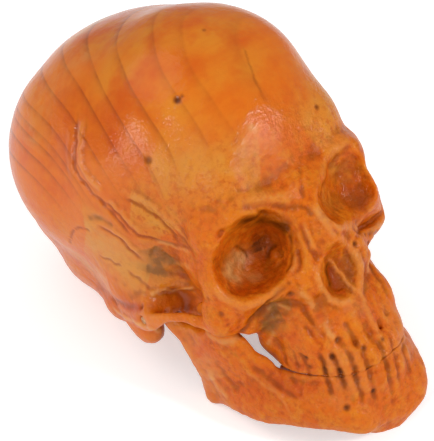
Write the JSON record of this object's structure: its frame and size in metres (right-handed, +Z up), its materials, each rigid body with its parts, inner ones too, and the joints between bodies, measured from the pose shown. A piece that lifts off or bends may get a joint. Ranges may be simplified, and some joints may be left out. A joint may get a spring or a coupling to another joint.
{
  "type": "carved skull",
  "caption": "Wooden carving of a human skull that lies back on a shelf, with open eye sockets, nose and cheek arches and a jaw that opens a little.",
  "frame": {"origin": "middle of the underside of the bounding box, on the shelf", "axes": "+Z up as the skull lies on the shelf; the face looks towards -Y and up; +X is the skull's own left"},
  "size_m": [0.0593, 0.1046, 0.0729],
  "materials": {
    "cranium": "oiled and polished",
    "mandible": "oiled and polished",
    "jaw_pin_left": "bare",
    "jaw_pin_right": "bare"
  },
  "bodies": {
    "skull": {"cranium": "cranium", "jaw_pin_left": "jaw_pin_left", "jaw_pin_right": "jaw_pin_right"},
    "jaw": {"mandible": "mandible"}
  },
  "joints": [
    {"name": "jaw_hinge", "type": "hinge", "parent": "skull", "child": "jaw", "pos_m": [0, -0.00513, 0.01825], "axis": [1, 0, 0], "range_deg": [0, 12]}
  ]
}
